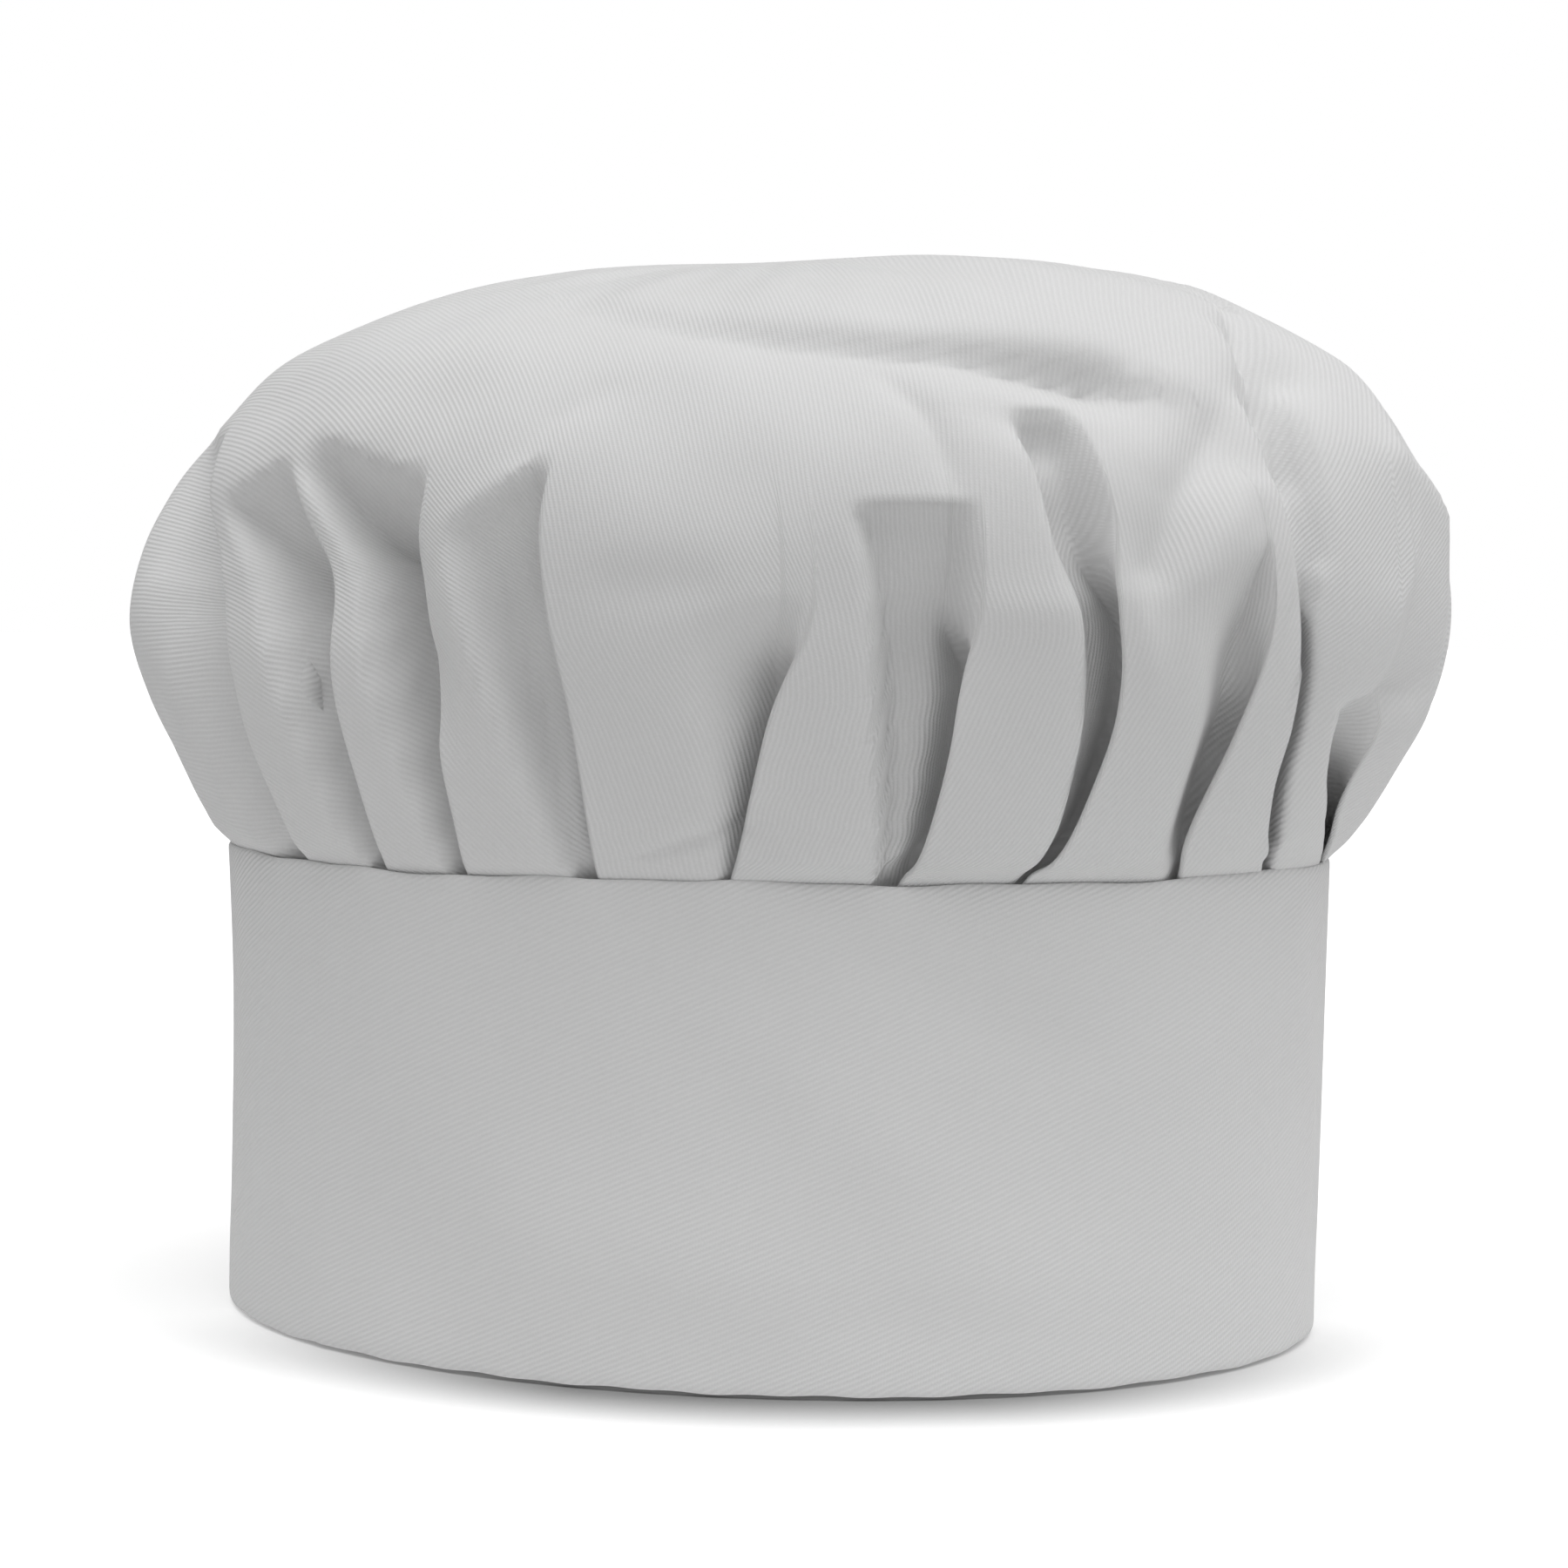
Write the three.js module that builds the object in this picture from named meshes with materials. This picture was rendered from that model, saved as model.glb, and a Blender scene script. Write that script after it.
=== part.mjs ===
// Chef hat: an upright oval band and a puffed crown in knife pleats, both of cotton twill.
// Millimetres, +Z up. The origin is the middle of the band's bottom rim, +X points to the
// oval's right-hand end and -Y to the hat's front.
import * as THREE from 'three';

// Driving dimensions
const BAND_HEIGHT = 89;
const BAND_WALL = 2.4;
const BAND_EDGE = 0.7;
const BAND_COLUMNS = 96;
const SEAM_GAP = 0.3;
const CROWN_WALL = 1.8;
const CROWN_ROWS = 19;
const CROWN_ARC = 205;
const STEP_HALF_DEG = 1.5;
const PANEL_STOPS = [0, 0.3, 0.6, 0.85, 1];
const PLEAT_CURVE = 2.2;
const PLEAT_CLOSING = 0.68;
const MIN_PANEL_DEG = 5;
const SEAM_PLEAT_SHARE = 0.3;
const LEVEL_SEAM_SHARE = 0.08;
const GATHER_REACH = 0.2;
const DENT_START = 0.15;
const TINY = 1e-6;

// Half widths of the band's outer face at each height, from the bottom rim to the rounded top edge.
const BAND_ROWS = [
  { z: 0, left: 107.4, right: 105.9, front: 83.0, back: 83.0 },
  { z: 30, left: 107.2, right: 106.2, front: 83.3, back: 83.2 },
  { z: 60, left: 107.1, right: 106.8, front: 83.4, back: 83.4 },
  { z: 87.6, left: 107.6, right: 107.6, front: 84.0, back: 84.0 },
  { z: BAND_HEIGHT, left: 106.9, right: 106.9, front: 83.3, back: 83.3 },
];

// The crown's smooth form before it is pleated: sections at even steps along the cloth, from the
// seam to the top. deep is the half width towards the front and the back.
const SEAM_Z = BAND_HEIGHT + SEAM_GAP;
const CROWN_SECTIONS = [
  { left: 106.0, right: 106.2, deep: 82.6, zLeft: SEAM_Z, zRight: SEAM_Z, zDeep: SEAM_Z },
  { left: 110.8, right: 111.5, deep: 86.5, zLeft: 94.0, zRight: 93.5, zDeep: 93.5 },
  { left: 116.6, right: 118.0, deep: 90.5, zLeft: 105.5, zRight: 104.5, zDeep: 105.0 },
  { left: 122.7, right: 125.6, deep: 94.5, zLeft: 118.5, zRight: 118.0, zDeep: 118.5 },
  { left: 127.3, right: 128.8, deep: 97.8, zLeft: 132.0, zRight: 134.0, zDeep: 132.5 },
  { left: 124.2, right: 127.4, deep: 99.5, zLeft: 145.5, zRight: 149.5, zDeep: 147.5 },
  { left: 116.8, right: 121.8, deep: 96.5, zLeft: 159.0, zRight: 164.0, zDeep: 160.5 },
  { left: 105.0, right: 111.5, deep: 87.0, zLeft: 171.0, zRight: 177.5, zDeep: 171.5 },
  { left: 90.5, right: 96.0, deep: 73.5, zLeft: 182.8, zRight: 188.5, zDeep: 181.5 },
  { left: 68.0, right: 73.0, deep: 55.0, zLeft: 192.6, zRight: 196.8, zDeep: 190.0 },
  { left: 38.0, right: 40.0, deep: 29.5, zLeft: 199.3, zRight: 200.6, zDeep: 197.0 },
  { left: 0, right: 0, deep: 0, zLeft: 200.8, zRight: 200.8, zDeep: 200.8 },
];

// Knife pleats. edge holds azimuths in degrees from the front, to the right: at the seam, at each
// quarter of the way up the pleat and at its upper end. top is the share of the way from seam to
// centre that it reaches, and depth is its step. over is 1 where the panel on the right lies on
// top, and -1 where the one on the left does.
const PLEATS = [
  { edge: [-101, -100, -99, -100, -102], top: 0.52, depth: 6, over: 1 },
  { edge: [-85, -83, -82, -83, -86], top: 0.50, depth: 7, over: 1 },
  { edge: [-45.5, -44, -42.5, -45, -62], top: 0.61, depth: 9, over: 1 },
  { edge: [-31, -30.5, -30, -29.5, -40], top: 0.56, depth: 9, over: 1 },
  { edge: [-19.5, -18.5, -18, -18, -20.5], top: 0.54, depth: 10, over: 1 },
  { edge: [-2, -2, -2.3, -4, -5.5], top: 0.54, depth: 9, over: 1 },
  { edge: [14, 15.2, 17, 19, 21], top: 0.40, depth: 8, over: 1 },
  { edge: [33, 35, 36, 36, 36.3], top: 0.49, depth: 9, over: 1 },
  { edge: [46.5, 50, 50.3, 48, 47.5], top: 0.58, depth: 10, over: 1 },
  { edge: [64, 62, 62.5, 63, 64], top: 0.44, depth: 8, over: 1 },
  { edge: [75, 69, 67.5, 68, 82], top: 0.75, depth: 9, over: -1 },
  { edge: [90, 87, 82.5, 80, 79], top: 0.33, depth: 7, over: 1 },
  { edge: [100, 97, 95, 96, 99], top: 0.50, depth: 7, over: 1 },
  { edge: [113, 115, 116, 114, 112], top: 0.55, depth: 8, over: 1 },
  { edge: [129, 128, 127, 129, 132], top: 0.45, depth: 7, over: 1 },
  { edge: [144, 146, 147, 145, 142], top: 0.58, depth: 9, over: 1 },
  { edge: [160, 159, 158, 160, 163], top: 0.42, depth: 8, over: 1 },
  { edge: [175, 177, 178, 176, 173], top: 0.56, depth: 9, over: 1 },
  { edge: [190, 189, 188, 190, 194], top: 0.48, depth: 7, over: 1 },
  { edge: [204, 206, 207, 205, 203], top: 0.57, depth: 9, over: 1 },
  { edge: [218, 217, 216, 218, 220], top: 0.44, depth: 7, over: 1 },
  { edge: [232, 234, 235, 233, 230], top: 0.54, depth: 9, over: 1 },
  { edge: [246, 245, 244, 245, 247], top: 0.46, depth: 5, over: 1 },
];

// Dents, each a soft valley along a stroke over the crown: azimuths in degrees, up as a share of
// the way from seam to centre. A negative depth is a raised ridge.
const DENTS = [
  { az0: -38, up0: 0.54, az1: -23, up1: 0.48, depth: 3, width: 9 },
  { az0: -18, up0: 0.44, az1: -7, up1: 0.50, depth: 3, width: 9 },
  { az0: 27, up0: 0.46, az1: 35, up1: 0.45, depth: 3, width: 10 },
  { az0: 40, up0: 0.59, az1: 46, up1: 0.58, depth: 5, width: 7 },
  { az0: 12, up0: 0.39, az1: 20, up1: 0.36, depth: 2, width: 9 },
  { az0: -10, up0: 0.78, az1: 20, up1: 0.716, depth: 2, width: 8 },
  { az0: 20, up0: 0.716, az1: 59, up1: 0.627, depth: 4, width: 8 },
  { az0: 66, up0: 0.62, az1: 52, up1: 0.40, depth: 4, width: 7 },
  { az0: 76, up0: 0.646, az1: 70, up1: 0.55, depth: 4, width: 8 },
  { az0: 87, up0: 0.64, az1: 88, up1: 0.47, depth: -2.5, width: 10 },
  { az0: 77, up0: 0.285, az1: 84, up1: 0.297, depth: 2.5, width: 8 },
  { az0: -66, up0: 0.412, az1: -50, up1: 0.422, depth: -1.5, width: 8 },
  { az0: 118, up0: 0.62, az1: 136, up1: 0.56, depth: 3, width: 9 },
  { az0: 150, up0: 0.6, az1: 172, up1: 0.68, depth: 3, width: 9 },
  { az0: 178, up0: 0.56, az1: 190, up1: 0.5, depth: 3, width: 9 },
  { az0: 205, up0: 0.66, az1: 214, up1: 0.54, depth: 3, width: 9 },
  { az0: 236, up0: 0.6, az1: 250, up1: 0.52, depth: 3, width: 9 },
];

const clothMaterial = (name, colour) => new THREE.MeshStandardMaterial({
  name,
  color: colour,
  roughness: 0.9,
  metalness: 0,
});
const bandMaterial = clothMaterial('band_twill', 0xe4e4e3);
const crownMaterial = clothMaterial('crown_twill', 0xe8e8e7);

const radians = THREE.MathUtils.degToRad;
const ease = THREE.MathUtils.smoothstep;

// Radius of an oval with its own half width on each side, at an azimuth from the front.
function ovalRadius(azimuth, left, right, front, back) {
  const across = Math.sin(radians(azimuth));
  const along = Math.cos(radians(azimuth));
  const sideReach = across < 0 ? left : right;
  const deepReach = along > 0 ? front : back;
  return 1 / Math.hypot(across / Math.max(sideReach, TINY), along / Math.max(deepReach, TINY));
}

function aroundAxis(azimuth, radius, z) {
  return new THREE.Vector3(radius * Math.sin(radians(azimuth)), -radius * Math.cos(radians(azimuth)), z);
}

// Smooth value at a share of the way through evenly spaced values, by a Catmull-Rom curve.
function curveThrough(values, share) {
  const last = values.length - 1;
  const place = THREE.MathUtils.clamp(share, 0, 1) * last;
  const low = Math.min(Math.floor(place), last - 1);
  const s = place - low;
  const before = low > 0 ? values[low - 1] : 2 * values[0] - values[1];
  const after = low + 2 <= last ? values[low + 2] : 2 * values[last] - values[last - 1];
  const [p0, p1, p2, p3] = [before, values[low], values[low + 1], after];
  const slope = (p2 - p0) * s;
  const bend = (2 * p0 - 5 * p1 + 4 * p2 - p3) * s * s;
  const twist = (3 * p1 - p0 - 3 * p2 + p3) * s * s * s;
  return 0.5 * (2 * p1 + slope + bend + twist);
}

function sectionValue(column, up) {
  return curveThrough(CROWN_SECTIONS.map((section) => section[column]), up);
}

function smoothCrown(azimuth, up) {
  const left = sectionValue('left', up);
  const right = sectionValue('right', up);
  const deep = sectionValue('deep', up);
  const across = Math.sin(radians(azimuth)) ** 2;
  const zSide = sectionValue(Math.sin(radians(azimuth)) < 0 ? 'zLeft' : 'zRight', up);
  const z = zSide * across + sectionValue('zDeep', up) * (1 - across);
  return aroundAxis(azimuth, ovalRadius(azimuth, left, right, deep, deep), z);
}

// Outward direction of the smooth form, turned level at the seam so that the hem stays flat.
function outward(azimuth, up) {
  const step = 0.01;
  const level = Math.min(Math.max(up, step), 1 - step);
  const along = smoothCrown(azimuth + 1, level).sub(smoothCrown(azimuth - 1, level));
  const rise = smoothCrown(azimuth, level + step).sub(smoothCrown(azimuth, level - step));
  const normal = along.cross(rise).normalize();
  normal.z *= ease(up, 0, LEVEL_SEAM_SHARE);
  if (up >= 1) normal.set(0, 0, 1);
  return normal.normalize();
}

// Azimuth of a pleat's visible edge: a curve through its stated azimuths, which runs back to the
// azimuth at the seam above the pleat's upper end.
function pleatAzimuth(pleat, up) {
  const back = ease(up, pleat.top, 1);
  return curveThrough(pleat.edge, up / pleat.top) * (1 - back) + pleat.edge[0] * back;
}

function pleatAzimuths(up) {
  const azimuths = PLEATS.map((pleat) => pleatAzimuth(pleat, up));
  for (let i = 1; i < azimuths.length; i += 1) {
    azimuths[i] = Math.max(azimuths[i], azimuths[i - 1] + MIN_PANEL_DEG);
  }
  return azimuths;
}

// Depth of a pleat's step: shallow at the seam, full above it, nothing at its upper end.
function pleatDepth(pleat, up) {
  const gathered = SEAM_PLEAT_SHARE + (1 - SEAM_PLEAT_SHARE) * ease(up, 0, GATHER_REACH);
  return pleat.depth * gathered * (1 - ease(up, PLEAT_CLOSING * pleat.top, pleat.top));
}

// Depth of the dents at a point, each fading as a bell curve with distance from its stroke.
function dentDepth(azimuth, up) {
  const perDegree = radians(1) * smoothCrown(azimuth, up).setZ(0).length();
  return DENTS.reduce((sum, dent) => {
    const turn = 360 * Math.round((azimuth - dent.az0) / 360);
    const start = new THREE.Vector2((dent.az0 + turn) * perDegree, dent.up0 * CROWN_ARC);
    const run = new THREE.Vector2((dent.az1 + turn) * perDegree, dent.up1 * CROWN_ARC).sub(start);
    const away = new THREE.Vector2(azimuth * perDegree, up * CROWN_ARC).sub(start);
    const share = THREE.MathUtils.clamp(away.dot(run) / run.lengthSq(), 0, 1);
    const distance = away.sub(run.multiplyScalar(share)).length();
    return sum + dent.depth * Math.exp(-((distance / dent.width) ** 2));
  }, 0);
}

// One level of the crown: for each panel between two pleats, its columns' azimuths and depths.
function crownLevel(up) {
  const azimuths = pleatAzimuths(up);
  return PLEATS.flatMap((pleat, i) => {
    const next = PLEATS[(i + 1) % PLEATS.length];
    const start = azimuths[i] + STEP_HALF_DEG;
    const end = (i + 1 < PLEATS.length ? azimuths[i + 1] : azimuths[0] + 360) - STEP_HALF_DEG;
    const fromLeft = pleat.over < 0 ? pleatDepth(pleat, up) : 0;
    const fromRight = next.over > 0 ? pleatDepth(next, up) : 0;
    return PANEL_STOPS.map((stop) => {
      const azimuth = start + (end - start) * stop;
      const folded = fromLeft * (1 - stop) ** PLEAT_CURVE + fromRight * stop ** PLEAT_CURVE;
      return { azimuth, depth: folded + dentDepth(azimuth, up) * ease(up, 0, DENT_START) };
    });
  });
}

// Triangles of the strip between two rings of a wall, given by the index of each ring's first
// point. The inner face takes the same diagonals as the outer one and faces the other way.
function strip(low, high, columns, inside) {
  const triangles = [];
  for (let i = 0; i < columns; i += 1) {
    const j = (i + 1) % columns;
    if (inside) triangles.push(low + i, high + j, low + j, low + i, high + i, high + j);
    else triangles.push(low + i, low + j, high + j, low + i, high + j, high + i);
  }
  return triangles;
}

function meshOf(name, points, triangles, material) {
  const geometry = new THREE.BufferGeometry().setFromPoints(points);
  geometry.setIndex(triangles);
  geometry.computeVertexNormals();
  const mesh = new THREE.Mesh(geometry, material);
  mesh.name = name;
  return mesh;
}

// The band: its outer face from the bottom rim up, over the top edge and down the inner face.
function makeBand() {
  const azimuths = Array.from({ length: BAND_COLUMNS }, (_, i) => (360 * i) / BAND_COLUMNS);
  const ring = (row, inset) => azimuths.map((azimuth) => {
    const radius = ovalRadius(azimuth, row.left, row.right, row.front, row.back);
    return aroundAxis(azimuth, radius - inset, row.z);
  });
  const outer = BAND_ROWS.map((row) => ring(row, 0));
  const bottom = BAND_ROWS[0];
  const top = BAND_ROWS[BAND_ROWS.length - 1];
  const rings = [...outer, ring(top, BAND_WALL - BAND_EDGE), ring(bottom, BAND_WALL)];
  const triangles = rings.flatMap((_, row) => {
    const next = (row + 1) % rings.length;
    return strip(row * BAND_COLUMNS, next * BAND_COLUMNS, BAND_COLUMNS, false);
  });
  return meshOf('band', rings.flat(), triangles, bandMaterial);
}

// The crown: its outer face from the seam to the centre and its inner face back to the seam,
// closed by a point at each face's centre and by the hem at the seam.
function makeCrown() {
  const columns = PLEATS.length * PANEL_STOPS.length;
  const outside = [];
  const inside = [];
  for (let row = 0; row < CROWN_ROWS; row += 1) {
    const up = row / CROWN_ROWS;
    crownLevel(up).forEach(({ azimuth, depth }) => {
      const normal = outward(azimuth, up);
      const point = smoothCrown(azimuth, up).addScaledVector(normal, -depth);
      outside.push(point);
      inside.push(point.clone().addScaledVector(normal, -CROWN_WALL));
    });
  }
  const tip = new THREE.Vector3(0, 0, smoothCrown(0, 1).z);
  const insideStart = outside.length;
  const outsideTip = 2 * insideStart;
  const insideTip = outsideTip + 1;
  const points = [...outside, ...inside, tip, tip.clone().setZ(tip.z - CROWN_WALL)];
  const triangles = strip(insideStart, 0, columns, false);
  for (let row = 0; row < CROWN_ROWS - 1; row += 1) {
    const low = row * columns;
    triangles.push(...strip(low, low + columns, columns, false));
    triangles.push(...strip(insideStart + low, insideStart + low + columns, columns, true));
  }
  const lastRing = insideStart - columns;
  for (let i = 0; i < columns; i += 1) {
    const j = (i + 1) % columns;
    triangles.push(lastRing + i, lastRing + j, outsideTip);
    triangles.push(insideStart + lastRing + i, insideTip, insideStart + lastRing + j);
  }
  return meshOf('crown', points, triangles, crownMaterial);
}

const hat = new THREE.Group();
hat.name = 'chef_hat';
hat.add(makeBand(), makeCrown());

export default hat;
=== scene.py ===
"""Chef hat: a puffed crown in knife pleats on an upright band, both of white cotton twill.

Lengths are millimetres until a mesh is made, except in the studio and in the shaders, which use
metres. Azimuths are degrees from the front to the right. A level is a share of the way up a piece."""

import math
from collections import namedtuple

import bpy
import numpy as np
from mathutils import Matrix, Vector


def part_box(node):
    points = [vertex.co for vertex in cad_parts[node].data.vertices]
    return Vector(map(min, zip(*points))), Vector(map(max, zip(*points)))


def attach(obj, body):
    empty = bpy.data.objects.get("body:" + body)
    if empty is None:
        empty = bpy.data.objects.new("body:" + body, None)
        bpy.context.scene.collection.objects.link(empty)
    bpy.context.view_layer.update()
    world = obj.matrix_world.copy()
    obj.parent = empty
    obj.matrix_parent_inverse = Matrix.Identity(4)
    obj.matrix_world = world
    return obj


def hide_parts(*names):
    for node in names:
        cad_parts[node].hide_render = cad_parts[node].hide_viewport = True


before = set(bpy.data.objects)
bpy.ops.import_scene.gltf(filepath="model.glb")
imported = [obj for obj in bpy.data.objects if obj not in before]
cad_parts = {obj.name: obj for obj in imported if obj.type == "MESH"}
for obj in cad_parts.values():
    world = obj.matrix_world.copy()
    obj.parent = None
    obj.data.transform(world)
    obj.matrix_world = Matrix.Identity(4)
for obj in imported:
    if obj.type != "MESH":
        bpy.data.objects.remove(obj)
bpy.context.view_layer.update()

bl_info = {
    "name": "Chef hat",
    "version": (1, 0, 0),
    "blender": (4, 5, 0),
    "location": "3D View > Sidebar > Chef hat",
    "description": "Builds a chef hat with a pleated crown, its cloth and its studio",
    "category": "Add Mesh",
}

MM = 0.001
TINY = 1e-6
BAND_HEIGHT = float(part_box("band")[1][2]) / MM
SEAM_HEIGHT = BAND_HEIGHT - 0.6      # the band's top edge hides the seam

# The crown's smooth form before it is pleated, at even steps from the seam to the top. Columns:
# half width on the left, on the right and to the front and back, then the height there.
CROWN_SECTIONS = np.array([
    (106.6, 106.6, 83.0, SEAM_HEIGHT, SEAM_HEIGHT, SEAM_HEIGHT),
    (110.8, 111.5, 86.5, 94.0, 93.5, 93.5),
    (116.0, 118.0, 91.0, 105.5, 104.5, 105.0),
    (121.5, 126.0, 95.6, 118.5, 118.0, 118.5),
    (125.8, 129.5, 99.0, 132.0, 134.0, 132.5),
    (122.8, 128.0, 99.2, 145.5, 149.5, 147.5),
    (116.0, 122.3, 94.2, 159.0, 164.0, 160.5),
    (106.0, 111.5, 85.2, 171.0, 177.0, 171.5),
    (92.5, 94.5, 73.5, 182.8, 188.5, 181.5),
    (68.0, 73.0, 55.0, 192.6, 196.8, 190.0),
    (38.0, 40.0, 29.5, 199.0, 200.6, 197.0),
    (0.0, 0.0, 0.0, 200.8, 200.8, 200.8),
])

# The knife pleats, from the left round the front and the back. Columns:
# hem, low, mid, high, end: azimuth of the pleat's edge at the hem, at each quarter of the pleat's
# height and at its upper end.
# top: level of the upper end.
# over: 1 where the panel on the right lies on top, -1 where the one on the left does.
# depth, reach, rim: the lower panel's hollow beside the edge: its depth, the share of the panel
# that it takes up and the share of the hollow that is its slope.
# slant, brow, drop: how much higher the hollow ends at the panel's far side, as a level, how far
# below its end it has its full depth, and the small step at the end.
# pinch, groove, turn, groove_top: the narrow groove at the edge: its depth, its width, how many
# degrees it leans to the right and the level of its upper end.
# crisp, soft: level up to which the edge is folded over, and how far the slope above that level
# reaches to each side.
# cloth: azimuth on the flat disc of the middle of the panel to the right.
PLEAT_COLUMNS = ("hem", "low", "mid", "high", "end", "top", "over", "depth", "reach", "rim",
                 "slant", "brow", "drop", "pinch", "groove", "turn", "groove_top", "crisp", "soft",
                 "cloth")
PLEATS = np.array([
    (-101, -100, -99, -100, -102, 0.52, 1, 5, 0.6, 1.0, 0, 30, 1, 2, 5, 0, 0.40, 0.45, 3, -92),
    (-85, -83, -82, -83, -86, 0.50, 1, 6, 0.4, 1.0, 0, 30, 1, 2, 5, 0, 0.40, 0.45, 3, -62),
    (-45.5, -45.3, -46, -50.5, -63, 0.61, 1, 12, 0.8, 0.5, 0, 40, 2, 1, 5, 0, 0.40, 0.60, 3, -40),
    (-31, -30.7, -30.7, -31.6, -41.5, 0.555, 1, 10, 0.95, 0.3, -0.05, 34, 5, 1, 5, 0, 0.40, 0.55, 3, -30),
    (-19.5, -18.8, -18.8, -18.8, -20.8, 0.54, 1, 11, 1.0, 0.3, 0.055, 32, 5.5, 1, 5, 0, 0.40, 0.54, 3, -18),
    (-2, -2, -2.3, -4, -5.5, 0.54, 1, 7, 1.0, 0.4, -0.095, 30, 4, 2, 5, 0, 0.40, 0.56, 2.5, 7),
    (14, 15.2, 17, 19, 21, 0.39, 1, 6, 0.55, 1.0, -0.05, 20, 1, 3, 5, 0, 0.36, 0.37, 3, 26),
    (33, 35, 36, 36, 36.3, 0.49, 1, 8, 0.76, 0.2, 0, 40, 4.5, 8, 4, 20, 0.39, 0.39, 3, 42),
    (46.5, 50, 50.3, 48, 47.5, 0.605, 1, 6, 0.5, 0.5, 0, 26, 4, 9, 4, 32, 0.45, 0.48, 3, 50),
    (64, 62, 62.3, 63, 63, 0.44, 1, 7, 0.75, 1.0, -0.075, 22, 1.5, 6, 4, 42, 0.30, 0.38, 3, 63),
    (75, 69, 66.2, 66.6, 82, 0.75, -1, 1.5, 1.0, 1.0, 0, 60, 1, 14, 4.5, 48, 0.41, 0.74, 3, 76),
    (90, 87, 82.5, 79, 77.5, 0.29, 1, 5, 0.6, 0.8, 0, 10, 1, 8, 4, 55, 0.28, 0.26, 3, 91),
    (100, 97, 95, 96, 99, 0.50, 1, 3, 0.7, 1.0, 0, 18, 0, 1, 5, 0, 0.30, 0.25, 4, 105.5),
    (113, 115, 116, 114, 112, 0.55, 1, 6, 0.8, 0.6, -0.05, 20, 2, 3, 5, 0, 0.40, 0.50, 3, 121),
    (129, 128, 127, 129, 132, 0.45, 1, 6, 0.6, 1.0, 0, 18, 0, 2, 5, 0, 0.40, 0.30, 4, 136.5),
    (144, 146, 147, 145, 142, 0.58, 1, 6, 0.8, 0.5, 0.05, 24, 3, 4, 5, 0, 0.40, 0.50, 3, 152),
    (160, 159, 158, 160, 163, 0.42, 1, 7, 0.6, 1.0, 0, 20, 0, 2, 5, 0, 0.30, 0.25, 4, 167.5),
    (175, 177, 178, 176, 173, 0.56, 1, 6, 0.9, 0.4, -0.06, 24, 3, 4, 5, 0, 0.40, 0.50, 3, 182.5),
    (190, 189, 188, 190, 194, 0.48, 1, 6, 0.6, 0.9, 0, 18, 0, 2, 5, 0, 0.30, 0.36, 4, 197),
    (204, 206, 207, 205, 203, 0.57, 1, 6, 0.8, 0.5, 0.05, 24, 3, 4, 5, 0, 0.40, 0.50, 3, 211),
    (218, 217, 216, 218, 220, 0.44, 1, 6, 0.6, 1.0, 0, 18, 0, 2, 5, 0, 0.30, 0.30, 4, 225),
    (232, 234, 235, 233, 230, 0.54, 1, 6, 0.8, 0.6, -0.05, 20, 2, 3, 5, 0, 0.40, 0.48, 3, 239),
    (246, 245, 244, 245, 247, 0.46, 1, 4, 0.6, 1.0, 0, 18, 0, 2, 5, 0, 0.30, 0.38, 3, 252.5),
])
PLEAT = dict(zip(PLEAT_COLUMNS, PLEATS.T))
MIN_PANEL = 2.0          # least number of degrees between two pleats

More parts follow.
